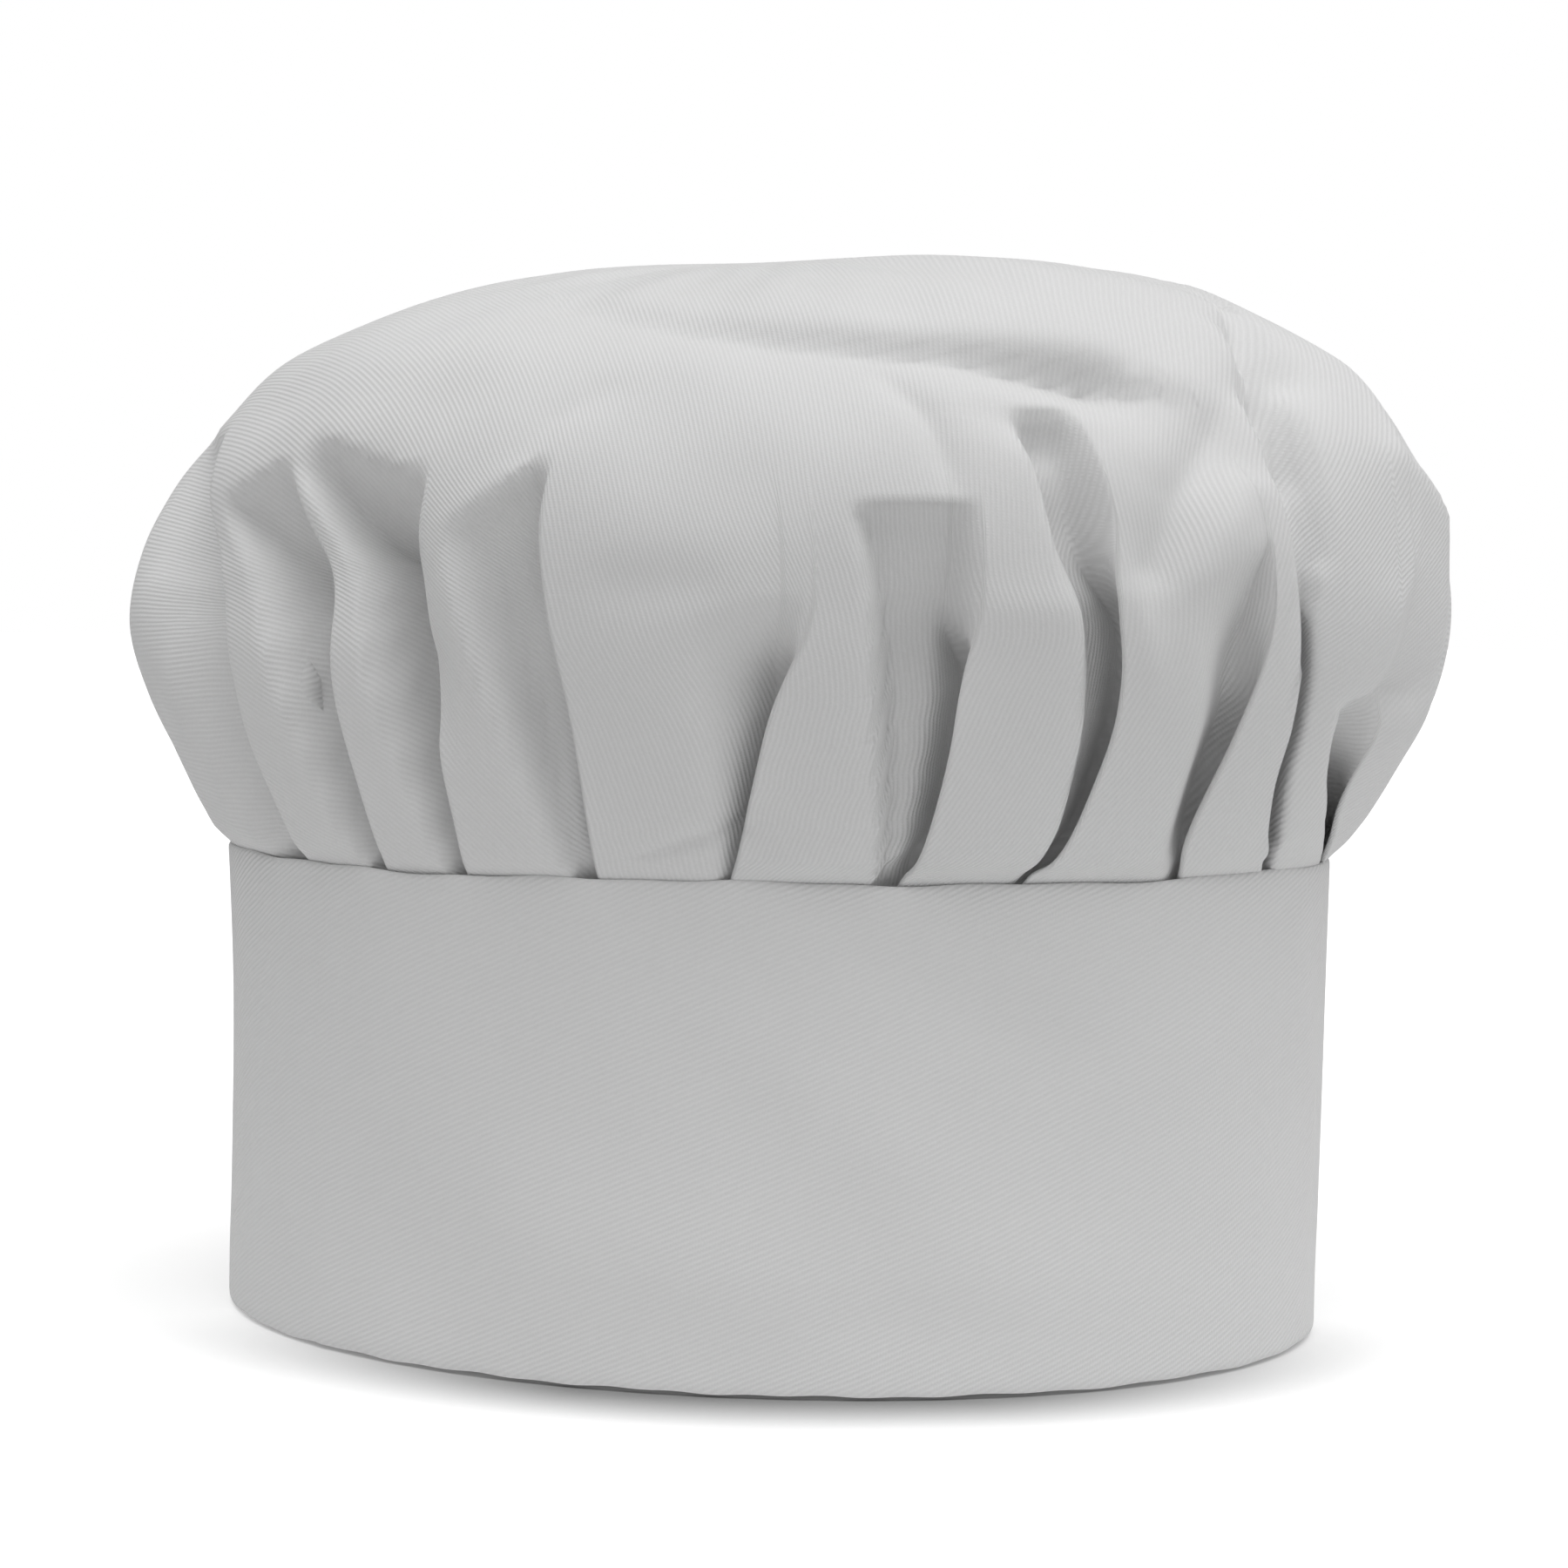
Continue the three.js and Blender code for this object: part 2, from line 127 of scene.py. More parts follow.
# Creases in the crown, each along a stroke over it. Columns: how far it reaches to the left and
# to the right of the stroke and its shape, 1 for a sharp crease and 2 for a round one. Then the
# stroke's points: azimuth, level and depth. A negative depth stands out as a ridge.
CREASES = (
    # The long wrinkle over the dome and two small ones below it
    (3, 11, 1.3, ((-20, 0.818, 1.0), (2, 0.776, 2.4), (20, 0.730, 3.0), (39, 0.694, 4.5),
                  (47, 0.674, 6.5), (52, 0.656, 7.5), (57, 0.648, 1.0))),
    (3, 3, 1.5, ((31, 0.664, 0.8), (34, 0.602, 1.4), (35, 0.536, 1.2), (36, 0.486, 0.5))),
    (5, 5, 1.6, ((41, 0.596, 1.0), (44, 0.580, 2.5), (47, 0.570, 1.0))),
    # Between the folds right of the front
    (6, 6, 1.5, ((39, 0.380, -1.2), (44, 0.380, -1.5), (48, 0.386, -1.2))),
    (6, 6, 1.4, ((66, 0.620, 1.5), (62, 0.580, 3.5), (56, 0.502, 5.0), (54, 0.456, 5.0),
                 (52.5, 0.420, 4.5), (52, 0.392, 2.0))),
    (3.5, 3.5, 1.5, ((50, 0.422, -0.8), (51, 0.378, -1.2), (52, 0.328, -1.2), (53, 0.292, -0.6))),
    (6, 6, 1.5, ((62, 0.500, -1.5), (59, 0.455, -2.2), (56, 0.410, -1.8))),
    # Along the long fold on the right
    (8, 2, 1.6, ((65, 0.400, -1.0), (65.5, 0.500, -2.0), (67, 0.600, -2.5), (69.5, 0.650, -2.5),
                 (74, 0.702, -2.5), (82, 0.750, -1.5))),
    (2, 17, 1.7, ((86, 0.740, 1.5), (77, 0.690, 2.5), (72, 0.630, 4.0), (69, 0.530, 5.0),
                  (68, 0.430, 3.0))),
    (4, 4, 2.0, ((78, 0.714, 2.0), (76, 0.686, 2.0))),
    (5, 5, 1.6, ((70, 0.626, 3.0), (76, 0.650, 3.0))),
    (4, 4, 1.6, ((69, 0.582, 2.0), (68.5, 0.530, 2.0))),
    (3, 3, 1.6, ((71.5, 0.060, -1.2), (72.5, 0.100, -1.2))),
    # At the right-hand end
    (9, 9, 1.3, ((88, 0.644, -2.0), (82, 0.532, -3.5), (89, 0.468, -3.0))),
    (4, 9, 1.3, ((80, 0.418, -1.2), (77, 0.374, -2.0), (76, 0.306, -2.0), (75, 0.278, -1.0))),
    (7, 4, 1.3, ((75, 0.276, 2.0), (79, 0.289, 3.5), (84, 0.297, 2.5))),
    # Left of the front
    (6, 5, 1.3, ((-29, 0.530, 2.0), (-25.5, 0.460, 5.0), (-22.5, 0.400, 6.5), (-20.5, 0.318, 7.5),
                 (-19, 0.250, 3.0))),
    (20, 20, 2.0, ((-58, 0.430, 5.5), (-29, 0.430, 6.0))),
    (7, 7, 1.4, ((-66, 0.412, -1.5), (-50, 0.422, -1.5))),
    # In the middle of the front
    (3, 3, 1.5, ((4, 0.088, 1.0), (10, 0.118, 1.5), (15, 0.132, 1.5))),
    (4, 4, 1.6, ((-8, 0.556, 0.8), (-6, 0.610, 1.0), (-2, 0.650, 0.5))),
    (5, 5, 1.8, ((4, 0.404, 0.9), (11, 0.406, 0.9))),
    # At the back
    (6, 12, 1.5, ((118, 0.620, 3.0), (136, 0.560, 3.0))),
    (5, 12, 1.5, ((150, 0.600, 3.0), (172, 0.680, 3.0))),
    (6, 12, 1.5, ((178, 0.560, 3.0), (190, 0.500, 3.0))),
    (6, 10, 1.5, ((205, 0.660, 3.0), (214, 0.540, 3.0))),
    (6, 12, 1.5, ((236, 0.600, 3.0), (250, 0.520, 3.0))),
)

# Slow waves in the cloth, and short ones in the height of the band's rim and top edge. Columns:
# how many go round the hat, how far they lean with the level, in turns for the crown and in
# radians for the band, then phase and height.
CROWN_WAVES = (
    (5, 1.7, 0.4, 0.35),
    (9, -2.6, 1.9, 0.25),
    (14, 4.3, 3.1, 0.18),
    (23, -5.1, 5.0, 0.12),
)
BAND_WAVES = (
    (3, 2.0, 0.7, 0.55),
    (7, -3.1, 2.1, 0.35),
    (12, 4.4, 4.0, 0.22),
)
RIM_WAVES = (
    (17, 0.0, 1.0, 0.11),
    (41, 0.0, 2.6, 0.11),
)
SEAM_WAVES = (
    (5, 0.0, 0.8, 0.30),
    (13, 0.0, 3.9, 0.22),
    (29, 0.0, 0.0, 0.14),
)
RIM_RAISED = 0.22        # how far the rim is raised on average

# The crown's cloth
FLAT_RADIUS = 200.0      # of the disc that it is cut from
CROWN_CLOTH = 0.7        # thickness
HEM = 5.0                # length behind the band
HEM_INSET = 0.2          # how far it stays inside the band's swell
EDGE_HEIGHT = 1.1        # of a pleat's rounded edge over the panel below it
STEP_HEIGHT = 2.5        # way down from a hollow's upper end that its small step takes

# How the pleats change over the crown. A pair is the two levels, or the two depths, between
# which a change runs.
NORMALS_RISE = (0.0, 0.05)
FOLDED_DEPTHS = (0.3, 2.0)
FOLD_FADE = 0.13         # levels that a folded edge takes to open
GROOVE_FADE = 0.12       # levels that a groove takes to end
GROOVE_RISE = (0.0, 0.12)
GROOVE_AT_SEAM = 0.35    # share of its depth that is left there
GROOVE_MOST = 0.5        # widest, as a share of the panel
HOLLOW_AT_SEAM = 0.2     # share of its width and of its depth that is left there
HOLLOW_FULL = 0.75       # share of the pleat's height at which it has its full depth
HOLLOW_SPREAD = 1.2      # power with which it widens on the way up
BROW_ROUND = 1.4         # power with which it closes at its upper end
STRIP_MOST = 0.14        # widest open slope to each side, as a share of the narrower panel
TUCK_MOST = 0.6          # deepest tuck, as a share of the upper panel
TUCK_OPEN = 0.8          # share of an open slope that the tuck's columns make
SPARE_MOST = 1.2         # most cloth left over for each millimetre
BILLOW_POWER = 1.3
BILLOW_PANEL = 28.0      # width of a panel that bulges by one millimetre
BILLOW_MOST = 1.2
BILLOW_RISE = (0.02, 0.14)
BILLOW_END = (0.3, 0.6)
CLOTH_OPENS = (0.34, 0.56)
CREASE_RISE = (0.0, 0.12)
WAVES_END = (0.85, 1.0)
SEAM_FOLLOWS = (0.0, 0.08)

# The crown's grid
CROWN_LEVELS = 98
LEVELS_LOW = 0.35        # how much closer together the levels are near the seam
FRONT_AZIMUTHS = (-60, 100)
FRONT_STEP = 0.95        # degrees between the columns of a front panel
BACK_STEP = 3.6
PANEL_EXTRA = 4          # columns that every panel has besides
TUCK_COLUMNS = 5
NOSE_COLUMNS = 3
SLOPE_STEP = 0.004
REACH_LEVELS = 401
REACH_AZIMUTHS = np.arange(0, 360, 15)
RING_AZIMUTHS = np.arange(0, 360, 2.0)
LEAST_DEGREE = 0.05      # shortest length of a degree, near the crown's centre
LEAST_WIDTH = 0.1        # narrowest panel there
LEAST_LENGTH = 1.0       # shortest ring and reach there

# Half widths of the band's outer face at even steps from the rim to the top. Columns: left,
# right, front, back.
BAND_SECTIONS = np.array([
    (107.4, 105.9, 83.0, 83.0),
    (107.2, 106.2, 83.3, 83.2),
    (107.1, 106.8, 83.4, 83.4),
    (107.6, 107.6, 84.0, 84.0),
])

# Soft folds in the band. Columns: azimuth and level at one end and at the other, how far it
# stands out and how far it reaches.
BAND_FOLDS = (
    (14, 0.72, 34, 0.46, 0.9, 9),
    (-12, 0.34, 22, 0.20, 0.9, 12),
    (30, 0.86, 52, 0.66, -0.8, 8),
    (56, 0.60, 78, 0.74, 0.8, 8),
    (40, 0.28, 66, 0.14, 0.7, 10),
    (26, 0.14, 42, 0.10, -0.8, 6),
    (82, 0.86, 86, 0.62, 0.6, 5),
    (-58, 0.90, -52, 0.40, -0.6, 6),
    (130, 0.70, 155, 0.40, 0.8, 10),
    (190, 0.30, 225, 0.60, 0.8, 11),
    (245, 0.80, 270, 0.50, -0.7, 9),
)
BAND_DEGREE = 1.67       # length of a degree round the band
BAND_BACK = -90          # azimuth from which the folds' azimuths run once round

# The line pressed into the band on the left: its azimuths at the rim and at the top
PRESSED_LOW = -43.5
PRESSED_HIGH = -40.0
PRESSED_WIDTH = 1.1      # degrees
PRESSED_HEIGHT = 0.35

# The band's strip, folded at the rim and turned in at the top
BAND_CLOTH = 0.7         # thickness
INNER_INSET = 2.0        # of the inner layer
INNER_END = 4.0          # of the inner layer, below the top
FOLD_START = 2.0         # height of the fold at the rim
FOLD_DROP = 1.2          # height of the fold's curve
EDGE_START = 3.0         # end of the outer layer's even rows, below the top
EDGE_STEPS = np.array([2.2, 1.6])    # two more rows, below the top
EDGE_ROUND = 1.2         # width of the rounded top edge
EDGE_RISE = 0.9 * EDGE_ROUND
TURNED_START = 2.0       # of the part turned in, below the top
TURNED_END = 9.0

# Levels between which the swell grows, the rim's waves end and the top edge's waves begin
SWELL_RISE = (0.0, 0.25)
RIM_END = (0.0, 0.06)
SEAM_START = (0.85, 1.0)

# The band's grid
BAND_COLUMNS = 480
INNER_ROWS = 30
OUTER_ROWS = 44
CURVE_ROWS = 9
TURNED_ROWS = 5
MEASURED_ROW = 40        # row of the outer layer that gives the length round the band

# Twill. Noise scales are for each metre of flat cloth, and the relief's depth is in metres.
DRIFT = {"Scale": 90.0, "Detail": 2.0}
FIBRE = {"Scale": 2200.0, "Detail": 3.0}
CLOUD = {"Scale": 28.0, "Detail": 3.0}
RIB_DRIFT = 0.25         # radians by which the ribs stray
STITCH_ALONG = 1.7       # frequency of the stitches, as a share of the ribs' own
STITCH_ACROSS = 0.9
RELIEF = {"rib": 0.75, "stitch": 0.25, "fibre": 0.35, "strength": 0.5, "depth": 0.00022}
SHADE = {"base": 0.93, "rib": 0.06, "fibre": 0.10, "cloud": 0.05}
ROUGH = {"base": 0.82, "fibre": 0.10, "cloud": 0.12}
SPECULAR = 0.25
SHEEN = 0.25
SHEEN_ROUGH = 0.5

# Sockets of the Mix node for colours, whose names repeat
MIX_FACTOR, MIX_FIRST, MIX_SECOND, MIX_RESULT = 0, 6, 7, 2

# The floor, in metres
FLOOR_REACH = 6.0
FLOOR_SEEN = 0.96        # grey that the camera sees
FLOOR_SEEN_GLOW = 0.22
FLOOR_GREY = 0.55        # grey for the light that it gives back
FLOOR_ROUGH = 0.9
FLOOR_SPECULAR = 0.1
LIT_RADIUS = 0.32        # of the bright patch round the hat
LIT_FADE = 0.12
LIT_GLOW = 0.34
# The floor's contact shadow is painted into its colour and glow.
CONTACT_REACH = 0.026    # of the contact shadow
CONTACT_POWER = 2.2
CONTACT_SAMPLES = 16
CONTACT_SIDE = (0.39, -1.19)         # towards the camera, where the shadow is strongest
CONTACT_START = 0.15     # how far ahead of the hat's sides it begins

# Soft lights of the studio dome. Columns: direction as right, front and up from the camera's
# heading, strength at its middle, and how sharply it fades, as a power of the cosine.
SOFT_LIGHTS = (
    ((0.0, 0.0, 1.0), 1.74, 4),
    ((0.0, 0.5, 0.866), 1.26, 6),
    ((1.0, 0.0, 0.0), 0.66, 1),
    ((-1.0, 0.0, 0.0), 0.14, 1),
    ((-0.7, 0.0, 0.7), 0.09, 1),
)


def ease(value, low, high):
    """A smooth rise from 0 at low to 1 at high."""
    share = np.clip((value - low) / (high - low), 0.0, 1.0)
    return share * share * (3.0 - 2.0 * share)


def mix(first, second, share):
    """The first value at share 0, the second at share 1, and a straight line between them."""
    return first + (second - first) * share


def table_curve(rows, up):
    """Catmull-Rom curve through evenly spaced rows, at each value of up from 0 to 1."""
    last = len(rows) - 1
    place = np.clip(up, 0.0, 1.0) * last
    low = np.minimum(place.astype(int), last - 1)
    s = (place - low)[..., None]
    ends = np.concatenate([2 * rows[:1] - rows[1:2], rows, 2 * rows[-1:] - rows[-2:-1]])
    p0, p1, p2, p3 = (ends[low + i] for i in range(4))
    curve = 2 * p1 + (p2 - p0) * s
    curve = curve + (2 * p0 - 5 * p1 + 4 * p2 - p3) * s ** 2
    return 0.5 * (curve + (3 * p1 - p0 - 3 * p2 + p3) * s ** 3)


def wave_sum(rows, azimuth, level):
    """Sum of waves round the hat: each is a sine of its count times the azimuth, plus its lean
    times the level, plus its phase."""
    turn = np.radians(azimuth)
    return sum(height * np.sin(count * turn + lean * level + phase)
               for count, lean, phase, height in rows)


def nearest_on_stroke(x, y, run_x, run_y):
    """For points from a stroke's start, the nearest place on the stroke, as a share of its run,
    and the distance to it."""
    share = np.clip((x * run_x + y * run_y) / (run_x ** 2 + run_y ** 2), 0, 1)
    return share, np.hypot(x - share * run_x, y - share * run_y)


def smooth_crown(azimuth, up):
    """Point of the unpleated crown: an oval ring with its own half width and height on each side."""
    across = np.sin(np.radians(azimuth))
    along = np.cos(np.radians(azimuth))
    left, right, deep, z_left, z_right, z_deep = np.moveaxis(table_curve(CROWN_SECTIONS, up), -1, 0)
    side = np.maximum(np.where(across < 0, left, right), TINY)
    radius = 1 / np.hypot(across / side, along / np.maximum(deep, TINY))
    z = mix(z_deep, np.where(across < 0, z_left, z_right), across ** 2)
    return np.stack([radius * across, -radius * along, z], -1)


def degree_length(azimuth, up):
    """Length of one degree round the unpleated crown, from its distance to the hat's axis."""
    return np.radians(1) * np.linalg.norm(smooth_crown(azimuth, up)[..., :2], axis=-1)


def outward(azimuth, up):
    """Unit normal of the unpleated crown, its slope round the hat crossed with its slope upwards.
    It is level at the seam."""
    level = np.clip(up, SLOPE_STEP, 1 - 2 * SLOPE_STEP)
    around = smooth_crown(azimuth + 1, level) - smooth_crown(azimuth - 1, level)
    rise = smooth_crown(azimuth, level + SLOPE_STEP) - smooth_crown(azimuth, level - SLOPE_STEP)
    normal = np.cross(around, rise)
    normal /= np.linalg.norm(normal, axis=-1, keepdims=True)
    normal[..., 2] *= ease(up, *NORMALS_RISE)
    return normal / np.linalg.norm(normal, axis=-1, keepdims=True)


def cloth_reach(level):
    """Distance over the smooth crown from its centre to each level, averaged round the hat."""
    fine = np.linspace(0, 1, REACH_LEVELS)
    azimuth = REACH_AZIMUTHS[:, None]
    points = smooth_crown(azimuth + 0 * fine[None, :], fine[None, :] + 0 * azimuth)
    step = np.linalg.norm(np.diff(points, axis=1), axis=-1).mean(0)
    from_centre = np.concatenate([[0], np.cumsum(step[::-1])])[::-1]
    return np.interp(level, fine, from_centre)


def spare_cloth(level):
    """Half of the cloth round each level that the smooth crown leaves over, for each millimetre
    of its length: the flat disc's ring less the crown's."""
    azimuth = RING_AZIMUTHS[:, None]
    ring = smooth_crown(azimuth + 0 * level[None, :], level[None, :] + 0 * azimuth)
    around = np.linalg.norm(ring - np.roll(ring, 1, axis=0), axis=-1).sum(0)
    ratio = 2 * np.pi * cloth_reach(level) / np.maximum(around, LEAST_LENGTH)
    return 0.5 * np.clip(ratio - 1, 0, SPARE_MOST)


def crown_levels():
    """Levels at which the crown has a ring: closer together near the seam."""
    even = np.arange(CROWN_LEVELS) / CROWN_LEVELS
    return even - LEVELS_LOW * np.sin(np.pi * even) * (1 - even) / np.pi


def pleat_azimuths(level):
    """Azimuth of each pleat's edge at each level: a curve through its five stated azimuths, which
    runs back to the azimuth at the hem above the pleat's upper end. The pleats stay in order."""
    rows = np.stack([PLEAT[name] for name in ("hem", "low", "mid", "high", "end")])
    trace = np.stack([table_curve(rows[:, i, None], level / PLEAT["top"][i])[:, 0]
                      for i in range(len(PLEATS))], 1)
    trace = mix(trace, PLEAT["hem"], ease(level[:, None], PLEAT["top"], 1.0))
    for i in range(1, len(PLEATS)):
        trace[:, i] = np.maximum(trace[:, i], trace[:, i - 1] + MIN_PANEL)
    return trace


def crease_depth(azimuth, up):
    """Sum of the creases: each falls off with the distance from its stroke, with its own width on
    the left and on the right of the stroke's direction."""
    degree = degree_length(azimuth, up)
    total = np.zeros_like(azimuth)
    for left, right, shape, points in CREASES:
        deepest = np.zeros_like(azimuth)
        for (az0, up0, depth0), (az1, up1, depth1) in zip(points, points[1:]):
            turned = azimuth - 360 * np.round((azimuth - 0.5 * (az0 + az1)) / 360)
            run_x = (az1 - az0) * degree
            run_y = (up1 - up0) * FLAT_RADIUS
            x = (turned - az0) * degree
            y = (up - up0) * FLAT_RADIUS
            share, away = nearest_on_stroke(x, y, run_x, run_y)
            width = np.where(run_x * y - run_y * x > 0, left, right)
            depth = mix(depth0, depth1, share) * np.exp(-(away / width) ** shape)
            deepest = np.where(np.abs(depth) > np.abs(deepest), depth, deepest)
        total += deepest
    return total


def hollow_shape(up, share, i):
    """Depth of the hollow beside pleat i at each level, over the share of the panel from its far
    side to the pleat's edge: a slope down to a floor. It starts at its upper end with a small
    step, and runs out towards the seam, which presses it flat."""
    top = PLEAT["top"][i]
    width = PLEAT["reach"][i] * mix(HOLLOW_AT_SEAM, 1.0, np.clip(up / top, 0, 1) ** HOLLOW_SPREAD)
    slope = ease(share, 1 - width, 1 - width + width * PLEAT["rim"][i])
    below = np.maximum((top + PLEAT["slant"][i] * (1 - share) - up) * FLAT_RADIUS, 0)
    growth = 1 - np.clip(1 - below / PLEAT["brow"][i], 0, 1) ** BROW_ROUND
    step = 1 - np.exp(-below / STEP_HEIGHT)
    depth = (PLEAT["depth"][i] * growth + PLEAT["drop"][i] * step) * slope
    return depth * mix(HOLLOW_AT_SEAM, 1.0, ease(up, 0.0, HOLLOW_FULL * top))


def groove_shape(up, share, i, panel_width):
    """Depth and shift to the right of the narrow groove at pleat i's edge, at the same places."""
    width = np.minimum(PLEAT["groove"][i] / np.maximum(panel_width, LEAST_WIDTH), GROOVE_MOST)
    narrow = np.clip((share - 1 + width) / width, 0, 1) ** 2
    top = PLEAT["groove_top"][i]
    run = PLEAT["pinch"][i] * narrow * (1 - ease(up, top - GROOVE_FADE, top))
    run = run * mix(GROOVE_AT_SEAM, 1.0, ease(up, *GROOVE_RISE))
    turn = np.radians(PLEAT["turn"][i])
    return run * np.cos(turn), run * np.sin(turn)


# A pleat's edge at each level: how far it is folded over, from 0 to 1, the lower panel's depth
# and its shift to the right there, the open slope's reach to each side, and how far the tuck goes
# under the upper panel.
PleatEdge = namedtuple("PleatEdge", "folded low shift strip tucked")


def pleat_edge(up, width, spare, i):
    """Pleat i's edge, from the widths of all the panels and the spare cloth at each level."""
    lower, upper = (i - 1, i) if PLEAT["over"][i] > 0 else (i, i - 1)
    groove, shift = groove_shape(up, 1.0, i, width[:, lower, None])
    low = hollow_shape(up, 1.0, i) + groove
    crisp = PLEAT["crisp"][i]
    folded = ease(low, *FOLDED_DEPTHS) * (1 - ease(up, crisp - FOLD_FADE, crisp))
    narrower = np.minimum(width[:, lower], width[:, upper])[:, None]
    strip = (1 - folded) * np.minimum(PLEAT["soft"][i], STRIP_MOST * narrower)
    tucked = np.minimum(spare * width[:, lower], TUCK_MOST * width[:, upper])[:, None]
    return PleatEdge(folded, low, shift * folded, strip, tucked)


def tuck_columns(over, edge):
    """The columns from a panel's end to the next panel's start: across from the pleat's edge, and
    depth. Folded, they run from the bottom of the hollow and its groove under the upper panel and
    back, and turn round its edge; open, they are a slope across the strip."""
    tuck = (np.arange(TUCK_COLUMNS) + 1) / (TUCK_COLUMNS + 1)
    turn = (np.arange(NOSE_COLUMNS) + 1) / (NOSE_COLUMNS + 1)
    height = np.minimum(EDGE_HEIGHT, edge.low) * edge.folded
    run = ease(tuck, 0.0, 1.0)[None, :]
    under_x = edge.tucked * np.sin(np.pi * tuck)[None, :] + over * edge.shift * (1 - run)
    nose_x = -0.5 * height * np.sin(np.pi * turn)[None, :]
    nose_depth = 0.5 * height * (1 + np.cos(np.pi * turn))[None, :]
    folded_x = np.concatenate([under_x, nose_x], 1)
    folded_depth = np.concatenate([mix(edge.low, height, run), nose_depth], 1)
    open_share = np.concatenate([TUCK_OPEN * tuck, TUCK_OPEN + (1 - TUCK_OPEN) * turn])[None, :]
    if over < 0:
        folded_x, folded_depth = -folded_x[:, ::-1], folded_depth[:, ::-1]
        open_share = 1 - open_share[:, ::-1]
    slope = ease(open_share, 0.0, 1.0)
    open_x = edge.strip * (2 * open_share - 1)
    open_depth = edge.low * (1 - slope if over > 0 else slope)
    return mix(open_x, folded_x, edge.folded), mix(open_depth, folded_depth, edge.folded)


def panel_shares(start, end):
    """Shares across a panel, closer together at both sides; the front panels have more."""
    facing = FRONT_AZIMUTHS[0] < 0.5 * (start + end) < FRONT_AZIMUTHS[1]
    count = round((end - start) / (FRONT_STEP if facing else BACK_STEP)) + PANEL_EXTRA
    k = np.arange(count) / (count - 1)
    return (k - 0.5 * np.sin(2 * np.pi * k) / (2 * np.pi))[None, :]


def panel_hollow(up, share, width, edges, i, j):
    """Depth and shift to the right of the panel between pleats i and j: the hollow and the groove
    of each of the two whose upper layer lies over this panel."""
    depth = 0 * up * share
    aside = 0 * up * share
    for pleat, towards, covered in ((i, 1 - share, PLEAT["over"][i] < 0),
                                    (j, share, PLEAT["over"][j] > 0)):
        if covered:
            groove, shift = groove_shape(up, towards, pleat, width)
            depth = depth + hollow_shape(up, towards, pleat) + groove
            aside = aside + shift * edges[pleat].folded
    return depth, aside


def panel_billow(up, share, width):
    """How far a panel bulges: most in its middle and low on the crown, more where it is wide."""
    billow = np.sin(np.pi * share) ** BILLOW_POWER * np.minimum(width / BILLOW_PANEL, BILLOW_MOST)
    return billow * ease(up, *BILLOW_RISE) * (1 - ease(up, *BILLOW_END))


def crown_sections():
    """Azimuth and depth below the smooth form of every column at every level, and the number of
    columns of each panel. Each pleat has a panel, a tuck under the next panel and that panel's
    rounded edge. Where the pleat is open at its upper end the tuck and the edge become a narrow
    strip of the surface."""
    level = crown_levels()
    up = level[:, None]
    azimuth = pleat_azimuths(level)
    azimuth = np.concatenate([azimuth, azimuth[:, :1] + 360], 1)
    degree = np.maximum(degree_length(azimuth, up + 0 * azimuth), LEAST_DEGREE)
    width = np.diff(azimuth, axis=1) * 0.5 * (degree[:, 1:] + degree[:, :-1])
    spare = spare_cloth(level)
    edges = [pleat_edge(up, width, spare, i) for i in range(len(PLEATS))]
    azimuths, depths, counts = [], [], []
    for i in range(len(PLEATS)):
        j = (i + 1) % len(PLEATS)
        at_start, at_end = azimuth[:, i, None], azimuth[:, i + 1, None]
        end_degree = degree[:, i + 1, None]
        start = at_start + edges[i].strip / degree[:, i, None]
        end = at_end - edges[j].strip / end_degree
        share = panel_shares(PLEAT["hem"][i], PLEAT["hem"][j] + (360 if j == 0 else 0))
        hollow, aside = panel_hollow(up, share, width[:, i, None], edges, i, j)
        across, tuck_depth = tuck_columns(PLEAT["over"][j], edges[j])
        azimuths += [mix(start, end, share) + aside / end_degree, at_end + across / end_degree]
        depths += [hollow - panel_billow(up, share, width[:, i, None]), tuck_depth]
        counts.append(share.size)
    return level, np.concatenate(azimuths, 1), np.concatenate(depths, 1), counts


def flat_azimuths(level, azimuth, points, counts):
    """Azimuth of every point on the flat disc. Low down each panel's cloth keeps its true width,
    measured along its own surface from the panel's middle, and the tuck takes the rest; near the
    top it is the azimuth itself."""
    reach = np.maximum(cloth_reach(level), LEAST_LENGTH)[:, None]
    opened = ease(level[:, None], *CLOTH_OPENS)
    tuck = TUCK_COLUMNS + NOSE_COLUMNS
    behind = ((np.arange(tuck) + 1) / (tuck + 1))[None, :]
    panels, first = [], 0
    for cloth, count in zip(PLEAT["cloth"], counts):
        step = np.linalg.norm(np.diff(points[:, first:first + count], axis=1), axis=-1)
        along = np.concatenate([0 * reach, np.cumsum(step, axis=1)], 1)
        flat = cloth + np.degrees((along - 0.5 * along[:, -1:]) / reach)
        panels.append(mix(flat, azimuth[:, first:first + count], opened))
        first += count + tuck
    starts = [panel[:, :1] for panel in panels[1:]] + [panels[0][:, :1] + 360]
    joined, first = [], 0
    for panel, following, count in zip(panels, starts, counts):
        first += count
        spread = mix(panel[:, -1:], following, behind)
        joined += [panel, mix(spread, azimuth[:, first:first + tuck], opened)]
        first += tuck
    return np.concatenate(joined, 1)


